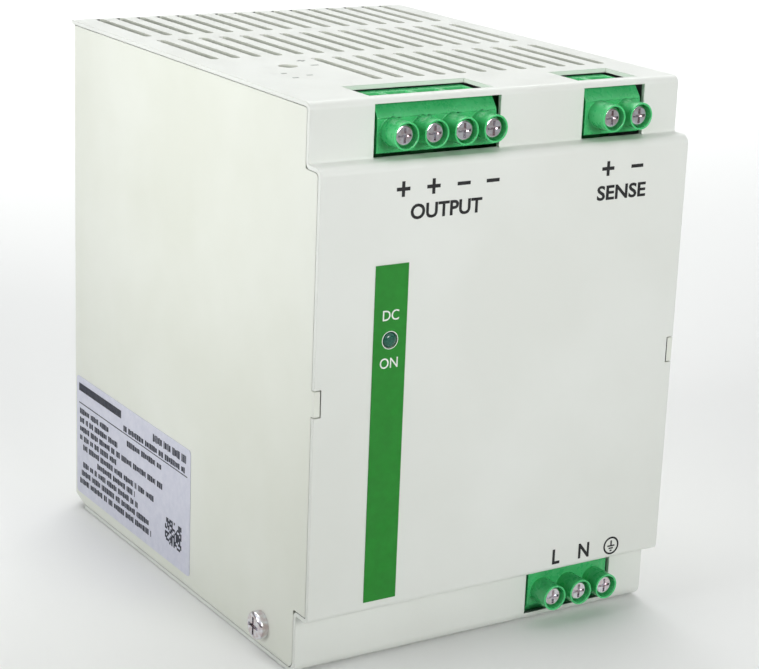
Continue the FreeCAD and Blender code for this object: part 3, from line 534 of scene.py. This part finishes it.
# %% [markdown]
# ### Ferrite, wire and boards
#
# Ferrite is a pressed and fired powder: dull, dark and slightly sparkling. Enamelled wire is copper
# under a clear varnish, so it gets a coat. A board is green solder resist over copper: where a track runs
# underneath, the resist stands up a little and looks lighter. Cells with straight sides, read as their
# borders, make tracks that turn at right angles.

# %% Ferrite, wire and boards
TRACK_PITCH_MM, PAD_PITCH_MM = 7.0, 6.0


def fired_powder(name, colour, spark):
    made, tree, shader, place = new_finish(name)
    glint = spread(tree, cells(tree, place, 0.35, "F1"), 0.6, 0.0, 0.0, 0.3)
    tree.links.new(blend_colours(tree, glint, colour, spark), shader.inputs["Base Color"])
    tree.links.new(spread(tree, cloud(tree, place, 0.6, 3.0), 0.5, 0.75, 0.3, 0.7),
                   shader.inputs["Roughness"])
    relief(tree, shader, [(cloud(tree, place, 0.4, 3.0), 0.02)])
    return made


def varnished_wire(name, colour, other):
    made, tree, shader, place = new_finish(name)
    shader.inputs["Metallic"].default_value = 1.0
    pull = cloud(tree, place, 1.6, 3.0)
    tree.links.new(blend_colours(tree, spread(tree, pull, 0, 1, 0.3, 0.7), colour, other),
                   shader.inputs["Base Color"])
    tree.links.new(spread(tree, pull, 0.22, 0.36, 0.3, 0.7), shader.inputs["Roughness"])
    shader.inputs["Coat Weight"].default_value = 0.6
    shader.inputs["Coat Roughness"].default_value = 0.1
    relief(tree, shader, [(cloud(tree, place, 0.5, 1.0), 0.01)])
    return made


def circuit_board(name, resist, over_copper, bare):
    made, tree, shader, place = new_finish(name)
    blocks = tree.nodes.new("ShaderNodeTexVoronoi")
    blocks.distance = "CHEBYCHEV"
    blocks.feature = "F2"
    blocks.inputs["Scale"].default_value = 1000.0 / TRACK_PITCH_MM
    tree.links.new(place, blocks.inputs["Vector"])
    track = spread(tree, blocks.outputs["Distance"], 0.0, 1.0, 0.52, 0.56)
    weave = cloud(tree, stretched(tree, place, (1, 1, 1), (0.1, 0.1, 0.1)), 0.5, 1.0)
    ground = blend_colours(tree, spread(tree, weave, 0, 1, 0.3, 0.7), resist, darker(resist, 0.85))
    covered = blend_colours(tree, track, ground, over_copper)
    dots = spread(tree, cells(tree, place, PAD_PITCH_MM), 1.0, 0.0, 0.10, 0.13)
    tree.links.new(blend_colours(tree, dots, covered, bare), shader.inputs["Base Color"])
    tree.links.new(dots, shader.inputs["Metallic"])
    tree.links.new(spread(tree, cloud(tree, place, 3.0, 3.0), 0.28, 0.42, 0.3, 0.7),
                   shader.inputs["Roughness"])
    relief(tree, shader, [(track, 0.035), (weave, 0.006)])
    return made


finishes["ferrite"] = fired_powder("ferrite", tint(58, 58, 60), tint(96, 96, 98))
finishes["enamelled_copper"] = varnished_wire("enamelled_copper", tint(196, 110, 62), tint(170, 84, 44))
finishes["board_laminate"] = circuit_board("board_laminate", tint(28, 92, 48), tint(46, 122, 66),
                                           tint(205, 200, 190))

# %% [markdown]
# ### Shrink sleeve
#
# An electrolytic capacitor wears a dark shrunk sleeve that stops short of one end, where the aluminium
# can shows bare. The far end of the row of cans, to the right, is therefore metal, and all the rest is
# sleeve. The paler stripe that marks the negative lead is left out.

# %% Shrink sleeve
BARE_FROM, BARE_TO = 0.9 * MM, 0.7 * MM     # the sleeve gives way to metal between these two depths


def shrink_sleeve(name, colour, metal, end_x):
    made, tree, shader, place = new_finish(name)
    parts = tree.nodes.new("ShaderNodeSeparateXYZ")
    tree.links.new(place, parts.inputs["Vector"])
    sheen = spread(tree, cloud(tree, place, 2.5, 3.0), 0.0, 1.0, 0.3, 0.7)
    sleeve = blend_colours(tree, sheen, colour, darker(colour, 0.8))
    bare = spread(tree, parts.outputs["X"], 0.0, 1.0, end_x - BARE_FROM, end_x - BARE_TO)
    tree.links.new(blend_colours(tree, bare, sleeve, metal), shader.inputs["Base Color"])
    tree.links.new(bare, shader.inputs["Metallic"])
    tree.links.new(spread(tree, cloud(tree, place, 3.0, 3.0), 0.24, 0.38, 0.3, 0.7),
                   shader.inputs["Roughness"])
    relief(tree, shader, [(cloud(tree, stretched(tree, place, (0.2, 1, 1)), 0.8, 2.0), 0.01)])
    return made


cans_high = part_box("bulk_capacitors")[1]
finishes["capacitor_sleeve"] = shrink_sleeve("capacitor_sleeve", tint(34, 40, 62), tint(196, 198, 200),
                                             cans_high.x)
print(len(finishes), "finishes")

# %% [markdown]
# ### Finishes on the pieces
#
# The record names one finish for each piece of the model, and each piece now gets it.

# %% Put the finishes on the model's pieces
slot_of = {part["node"]: part["material_slot"] for part in frame["record"]["subparts"]}
for name, piece in nodes.items():
    piece.data.materials.clear()
    piece.data.materials.append(finishes[slot_of[name]])
print("finished", len(slot_of), "pieces with", len(set(slot_of.values())), "finishes")

# %% [markdown]
# ## Soft edges
#
# No sheet or moulding has a knife edge: the press and the paint round a sheet's rim by a tenth of a
# millimetre or so, and a mould rounds a plastic edge by more. A real edge catches a thin line of light.
# The model's pieces are loose triangles, so a copy is merged and its flat triangles joined; a Bevel
# modifier then rounds the corners, and a Weighted Normal modifier keeps the flats looking flat. The copy
# stands for the model's node and rides where the node rides.

# %% Softened copies
MERGE_REACH = 0.001 * MM
SAME_PLANE, SHARP = math.radians(0.4), math.radians(34)


def merged_copy(node):
    """Copy of a node with its triangles joined, standing for the node and riding where it rides."""
    shape = bmesh.new()
    shape.from_mesh(nodes[node].data)
    bmesh.ops.remove_doubles(shape, verts=shape.verts, dist=MERGE_REACH)
    bmesh.ops.dissolve_limit(shape, angle_limit=SAME_PLANE, verts=shape.verts, edges=shape.edges)
    for face in shape.faces:
        face.smooth = True
    piece = finished_object(node + "_finished", shape)
    piece.data.materials.append(finishes[slot_of[node]])
    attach(piece, body_of(nodes[node])[0])
    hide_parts(node)
    return piece


def softened(node, width_mm, segments=2):
    """Merged copy of a node with its sharp edges rounded."""
    piece = merged_copy(node)
    rounding = piece.modifiers.new("rounding", "BEVEL")
    rounding.width = width_mm * MM
    rounding.segments = segments
    rounding.limit_method = "ANGLE"
    rounding.angle_limit = SHARP
    shading = piece.modifiers.new("shading", "WEIGHTED_NORMAL")
    shading.keep_sharp = True
    return piece


SMALL_EDGE = 0.09
EDGE_WIDTHS = {"front_cover": 0.12, "chassis": 0.16, "output_terminal_housing": 0.16,
               "sense_terminal_housing": 0.16, "input_terminal_housing": 0.16, "case_screws": 0.12,
               "rail_bracket": 0.2, "rail_latch": 0.4, "bracket_screws": 0.1, "heat_sink": 0.12,
               "transformer_core": 0.3, "transformer_bobbin": 0.2, "interference_capacitor": 0.5,
               "power_transistors": 0.15, "bridge_rectifier": 0.2, "trimmer_body": 0.2, "trimmer_rotor": 0.1}
for name in nodes:
    if "_screw_" in name or "_clamp_" in name:
        EDGE_WIDTHS[name] = SMALL_EDGE
finished = {name: softened(name, width) for name, width in EDGE_WIDTHS.items()}
print("softened", len(finished), "pieces")

# %% [markdown]
# ## Spring
#
# The latch is held up by a coil spring that stands on a stop of the bracket. Drawing the latch down
# shortens the spring by as much. The coil is a merged copy of the model's spring, with a mesh of its own.

# %% Spring
coil = merged_copy("latch_spring")
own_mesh(coil)

# %% [markdown]
# ## Darker inside faces and slot edges, painted as shade
#
# The inside faces of the two sheets get a dull, darker galvanised steel, and the cut edges of the vent
# slots a greyer coat: both are painted shade, so that from outside the slots look dark. Which faces are
# inside is found by looking straight out from each one: a face on the outside sees nothing, a face on
# the inside meets another wall some way off and has one sheet's thickness behind it. The cut edge of a
# slot meets its own other edge within a few millimetres.

# %% Inside faces
def galvanised(name):
    made, tree, shader, place = new_finish(name)
    spangle = cells(tree, place, 7.0, "F1", "Color")
    shade = tree.nodes.new("ShaderNodeRGBToBW")
    tree.links.new(spangle, shade.inputs["Color"])
    tone = spread(tree, shade.outputs["Val"], 0.0, 1.0)
    tree.links.new(blend_colours(tree, tone, tint(96, 98, 98), tint(122, 125, 126)),
                   shader.inputs["Base Color"])
    tree.links.new(spread(tree, tone, 0.42, 0.6), shader.inputs["Roughness"])
    shader.inputs["Metallic"].default_value = 0.7
    relief(tree, shader, [(cloud(tree, place, 0.6, 3.0), 0.008)])
    return made


# Painted shade: a darker grey steel for the inside faces and a greyer coat for the slots' cut edges, so the
# vent slots look dark.
shaded_inside_steel = galvanised("shaded_inside_steel")
shaded_cut_edge = powder_coat("shaded_cut_edge", tint(210, 213, 202), tint(190, 194, 182))
SLOT_REACH, SHEET_LIMIT, SKIN = 5 * MM, 1.8 * MM, 0.05 * MM
PAINTED, SHADED_INSIDE, SHADED_CUT = range(3)               # places of the three finishes in a sheet's list
walls = bmesh.new()
walls.from_mesh(nodes["front_cover"].data)
walls.from_mesh(nodes["chassis"].data)
tree_of_walls = BVHTree.FromBMesh(walls)
for name in ("front_cover", "chassis"):
    mesh = finished[name].data
    mesh.materials.append(shaded_inside_steel)
    mesh.materials.append(shaded_cut_edge)
    for face in mesh.polygons:
        reach = tree_of_walls.ray_cast(face.center + face.normal * SKIN, face.normal)[3]
        thickness = tree_of_walls.ray_cast(face.center - face.normal * SKIN, -face.normal)[3]
        if reach is not None and reach < SLOT_REACH:
            face.material_index = SHADED_CUT
        elif reach is not None and thickness is not None and thickness < SHEET_LIMIT:
            face.material_index = SHADED_INSIDE
    counts = [sum(face.material_index == kind for face in mesh.polygons) for kind in (PAINTED, SHADED_INSIDE, SHADED_CUT)]
    print(name, counts, "painted, bare, cut")
walls.free()

# %% [markdown]
# ## Print
#
# Terminal marks are screen printed: a film of dark ink a few hundredths of a millimetre thick. Flat
# letters are made as text, turned to a mesh, and pressed into place as real thin pieces, which keeps them
# sharp in close views. The built-in face is lighter than the marks on such a plate, so every word is
# given a little weight, and is slimmed or widened until it fills its own space.

# %% Ink
def ink(name, colour, other, rough=0.5):
    made, tree, shader, place = new_finish(name)
    patch = spread(tree, cloud(tree, place, 0.8, 3.0), 0.0, 1.0, 0.35, 0.65)
    tree.links.new(blend_colours(tree, patch, colour, other), shader.inputs["Base Color"])
    tree.links.new(spread(tree, cloud(tree, place, 2.0, 2.0), rough * 0.85, rough * 1.2, 0.3, 0.7),
                   shader.inputs["Roughness"])
    relief(tree, shader, [(cloud(tree, place, 0.1, 1.0), 0.003)])
    return made


finishes["dark_ink"] = ink("dark_ink", tint(8, 9, 10), tint(18, 19, 20), 0.65)
finishes["white_ink"] = ink("white_ink", tint(238, 242, 236), tint(222, 230, 222))
finishes["grey_ink"] = ink("grey_ink", tint(128, 132, 128), tint(150, 154, 148))
finishes["label_ink"] = ink("label_ink", tint(24, 27, 42), tint(44, 48, 64), 0.6)

INK_THICKNESS = 0.03 * MM
CAPITAL_SHARE = 0.72                        # height of a capital as a share of the size of the face
LETTER_STEPS = 4
ON_FRONT = Matrix(((1, 0, 0), (0, 0, -1), (0, 1, 0))).to_4x4()     # stands a flat drawing on the front
ON_LEFT = Matrix(((0, 0, -1), (-1, 0, 0), (0, 1, 0))).to_4x4()     # and the same for the left wall
FLAT = Matrix.Identity(4)


def lettering(words, height_mm, narrow=0.92, weight=0.026):
    """Letters as a thin mesh, centred on the origin and lying flat."""
    text = bpy.data.curves.new("letters", "FONT")
    text.body = words
    text.size = height_mm * MM / CAPITAL_SHARE
    text.align_x, text.align_y = "CENTER", "CENTER"
    text.extrude = INK_THICKNESS / 2
    text.offset = weight * text.size
    text.resolution_u = LETTER_STEPS
    holder = bpy.data.objects.new("letters", text)
    bpy.context.scene.collection.objects.link(holder)
    bpy.context.view_layer.update()
    mesh = bpy.data.meshes.new_from_object(holder.evaluated_get(bpy.context.evaluated_depsgraph_get()))
    bpy.data.objects.remove(holder)
    bpy.data.curves.remove(text)
    mesh.transform(Matrix.Diagonal((narrow, 1, 1, 1)))
    return mesh


def bar(shape, across, along, width, length, turn=0.0):
    """Thin bar of ink, all sizes in millimetres, drawn flat about a point."""
    place = Matrix.Translation((across * MM, along * MM, 0)) @ Matrix.Rotation(turn, 4, "Z")
    size = Matrix.Diagonal((width * MM, length * MM, INK_THICKNESS, 1))
    bmesh.ops.create_cube(shape, size=1, matrix=place @ size)


def press(name, shape, stand, origin, finish, body_node="front_cover"):
    """Stand a flat drawing up at its place and make it a printed piece."""
    bmesh.ops.transform(shape, matrix=Matrix.Translation(origin) @ stand, verts=shape.verts)
    bmesh.ops.recalc_face_normals(shape, faces=shape.faces)
    piece = finished_object(name, shape)
    piece.data.materials.append(finishes[finish])
    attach(piece, body_of(nodes[body_node])[0])
    return piece


def write_on(shape, words, height_mm, across, along, **style):
    """Add letters to a flat drawing."""
    mesh = lettering(words, height_mm, **style)
    mesh.transform(Matrix.Translation((across * MM, along * MM, 0)))
    shape.from_mesh(mesh)
    bpy.data.meshes.remove(mesh)


# %% [markdown]
# ### Marks on the front plate
#
# A plus or minus sign stands by each pole of the output and sense terminals, with a word for each group,
# and L and N stand by the mains poles. A plus sign is a minus sign with two arms that only meet it,
# because two bars that crossed would share a plane. Places are millimetres from the left wall and from
# the underside.

# %% Marks on the front plate
PLUS_PLACES, MINUS_PLACES = (20.5, 28.2, 75.2), (36.0, 43.6, 83.5)
SIGN_SPAN, SIGN_STROKE, SIGN_HEIGHT = 3.4, 0.8, 111.1
WORD_SIZE, LETTER_SIZE = 3.3, 3.7
WORDS = (("OUTPUT", WORD_SIZE, 31.7, 105.7, 1.02), ("SENSE", WORD_SIZE, 79.4, 105.3, 1.13),
         ("L", LETTER_SIZE, 67.5, 17.9, 0.92), ("N", LETTER_SIZE, 75.8, 18.0, 0.9))

plate_origin = at_front(0, 0) + Vector((0, -INK_THICKNESS, 0))
shape = bmesh.new()


def minus(shape, across, along, span, stroke):
    """Minus sign."""
    bar(shape, across, along, span, stroke)


def plus(shape, across, along, span, stroke):
    """Plus sign: a minus sign with an arm above it and one below, which only meet it."""
    minus(shape, across, along, span, stroke)
    arm = (span - stroke) / 2
    for side in (-1, 1):
        bar(shape, across, along + side * (stroke + arm) / 2, stroke, arm)


for across in PLUS_PLACES:
    plus(shape, across, SIGN_HEIGHT, SIGN_SPAN, SIGN_STROKE)
for across in MINUS_PLACES:
    minus(shape, across, SIGN_HEIGHT, SIGN_SPAN, SIGN_STROKE)
for words, size, across, along, narrow in WORDS:
    write_on(shape, words, size, across, along, narrow=narrow)
print(len(PLUS_PLACES) + len(MINUS_PLACES), "signs and", len(WORDS), "words")

# %% [markdown]
# The earth sign is a ring round a stem that ends in three shrinking bars. The ring is a small square
# section spun right round, with its ends merged. With the sign the front plate's drawing is whole, and it
# is pressed on as one piece.

# %% Earth sign
EARTH_ACROSS, EARTH_ALONG = 84.0, 17.9
EARTH = Vector((EARTH_ACROSS, EARTH_ALONG, 0)) * MM
EARTH_RADIUS, EARTH_STROKE = 2.05, 0.46
STEM_ALONG, STEM_WIDTH, STEM_LENGTH = 18.55, 0.42, 1.3
FIRST_BAR_ALONG, BAR_STROKE = 17.85, 0.36
DROPS_AND_SPANS = ((0.0, 2.1), (0.62, 1.3), (1.24, 0.6))


def ring(shape, middle, radius_mm, stroke_mm, thickness=INK_THICKNESS, steps=40):
    """Flat ring: a small upright square section spun round the middle."""
    corners = []
    for reach in (radius_mm - stroke_mm / 2, radius_mm + stroke_mm / 2):
        corners.append(shape.verts.new(middle + Vector((reach * MM, 0, -thickness / 2))))
    for reach in (radius_mm + stroke_mm / 2, radius_mm - stroke_mm / 2):
        corners.append(shape.verts.new(middle + Vector((reach * MM, 0, thickness / 2))))
    section = shape.faces.new(corners)
    edges = list(section.edges)
    shape.faces.remove(section)
    bmesh.ops.spin(shape, geom=edges, cent=middle, axis=(0, 0, 1), angle=math.tau, steps=steps,
                   use_merge=True)


ring(shape, EARTH, EARTH_RADIUS, EARTH_STROKE)
bar(shape, EARTH_ACROSS, STEM_ALONG, STEM_WIDTH, STEM_LENGTH)
for drop, span in DROPS_AND_SPANS:
    bar(shape, EARTH_ACROSS, FIRST_BAR_ALONG - drop, span, BAR_STROKE)
plate_print = press("plate_print", shape, ON_FRONT, plate_origin, "dark_ink")
print("plate print has", len(plate_print.data.polygons), "faces")

# %% [markdown]
# ### Letters on the strip
#
# The strip says above and below its lamp what a lit lamp means, in thin white letters, and a fine ring
# frames the lamp.

# %% Letters on the strip
STRIP_LETTER, STRIP_MIDDLE, STRIP_WEIGHT = 2.4, 18.4, 0.004
STRIP_WORDS = (("DC", 83.4), ("ON", 72.6))
FRAME_PLACE, FRAME_RADIUS, FRAME_STROKE = Vector((18.45, 77.9, 0)) * MM, 1.98, 0.16

strip_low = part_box("green_strip")[0]
shape = bmesh.new()
for words, along in STRIP_WORDS:
    write_on(shape, words, STRIP_LETTER, STRIP_MIDDLE, along, weight=STRIP_WEIGHT)
ring(shape, FRAME_PLACE, FRAME_RADIUS, FRAME_STROKE)
strip_origin = Vector((left_x, strip_low.y - INK_THICKNESS, floor_z))
strip_print = press("strip_print", shape, ON_FRONT, strip_origin, "white_ink")
print("strip print has", len(strip_print.data.polygons), "faces")

# %% [markdown]
# ### Marks round the trimmer hole
#
# Small grey marks stand on the top by the trimmer's hole, as such marks do to say which way to turn. They
# are drawn as plain dashes and one cross, with no wording.

# %% Marks round the trimmer hole
TRIMMER_STROKE = 0.7
CROSS_PLACE, CROSS_SPAN = (24.5, 46.9), 2.0
DASHES = ((24.5, 40.6, 2.0), (12.1, 27.4, 1.5), (16.8, 29.4, 1.5), (12.3, 33.1, 1.3))

shape = bmesh.new()
plus(shape, *CROSS_PLACE, CROSS_SPAN, TRIMMER_STROKE)
for across, along, span in DASHES:
    minus(shape, across, along, span, TRIMMER_STROKE)
top_origin = Vector((left_x, recess_y, top_z + INK_THICKNESS))
trimmer_print = press("trimmer_print", shape, FLAT, top_origin, "grey_ink")
print("trimmer print has", len(trimmer_print.data.polygons), "faces")

# %% [markdown]
# ## Label print
#
# The label holds a heading block, rules, lines of small print and a square code. Small print is only
# ever seen as rows of dark ticks grouped in words, so it is drawn as that: short bars of uneven width in
# groups, from a seeded random generator, which says nothing and is the same each time.

# %% Label print
label_low, label_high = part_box("rating_label")
LABEL_LENGTH = (label_high.y - label_low.y) / MM
LABEL_HEIGHT = (label_high.z - label_low.z) / MM
TICK_GAP, WORD_GAP = 0.22, 0.8
TICKS_IN_WORD, TICK_WIDTHS, TICK_HEIGHTS = (2, 9), (0.35, 0.7, 0.8, 0.9), (0.8, 1.0, 1.0)
LINE_END = LABEL_LENGTH - 2.0
HEADING_MIDDLE, HEADING_DROP, HEADING_LENGTH, HEADING_TALL = 14.5, 2.8, 26.0, 2.1
BESIDE_HEADING = ((46.0, 3.0, 2.0), (29.0, 5.9, 1.5))     # start, drop from the top, height of the ticks
RULE_DROP, RULE_MARGIN, RULE_STROKE = 7.2, 3.0, 0.25
LINE_DROP, LINE_PITCH, LINE_TALL = 9.4, 2.45, 1.55
LINES = ((2, 20), (2, 26), (2, 52), (2, 25), (4, 48), (13, 36), (4, 38), (3, 44), (2, 46))
SECOND_GROUP = (31, 51)                                   # more print further along the first line
CODE_LEFT, CODE_BOTTOM, CODE_CELL, CODE_ROWS, CODE_COLUMNS = 53.5, 5.0, 0.6, 11, 15
CODE_FILL = 0.55
draw = random.Random(7)
shape = bmesh.new()


def small_print(start, end, along, tick_height):
    """A line of ticks in word-sized groups between two places, in millimetres."""
    across = start
    while across < end:
        for _ in range(draw.randint(*TICKS_IN_WORD)):
            width = draw.choice(TICK_WIDTHS)
            if across + width > end:
                return
            bar(shape, across + width / 2, along, width, tick_height * draw.choice(TICK_HEIGHTS))
            across += width + TICK_GAP
        across += WORD_GAP


bar(shape, HEADING_MIDDLE, LABEL_HEIGHT - HEADING_DROP, HEADING_LENGTH, HEADING_TALL)
for start, drop, tick_height in BESIDE_HEADING:
    small_print(start, LINE_END, LABEL_HEIGHT - drop, tick_height)
bar(shape, LABEL_LENGTH / 2, LABEL_HEIGHT - RULE_DROP, LABEL_LENGTH - RULE_MARGIN, RULE_STROKE)
for number, (start, end) in enumerate(LINES):
    small_print(start, end, LABEL_HEIGHT - LINE_DROP - LINE_PITCH * number, LINE_TALL)
small_print(*SECOND_GROUP, LABEL_HEIGHT - LINE_DROP, LINE_TALL)
for row in range(CODE_ROWS):
    for column in range(CODE_COLUMNS):
        if draw.random() < CODE_FILL:
            bar(shape, CODE_LEFT + column * CODE_CELL, CODE_BOTTOM + row * CODE_CELL, CODE_CELL, CODE_CELL)
label_origin = Vector((label_low.x - INK_THICKNESS, label_high.y, label_low.z))
label_print = press("label_print", shape, ON_LEFT, label_origin, "label_ink",
                    "rating_label")
print("label print has", len(label_print.data.polygons), "faces")
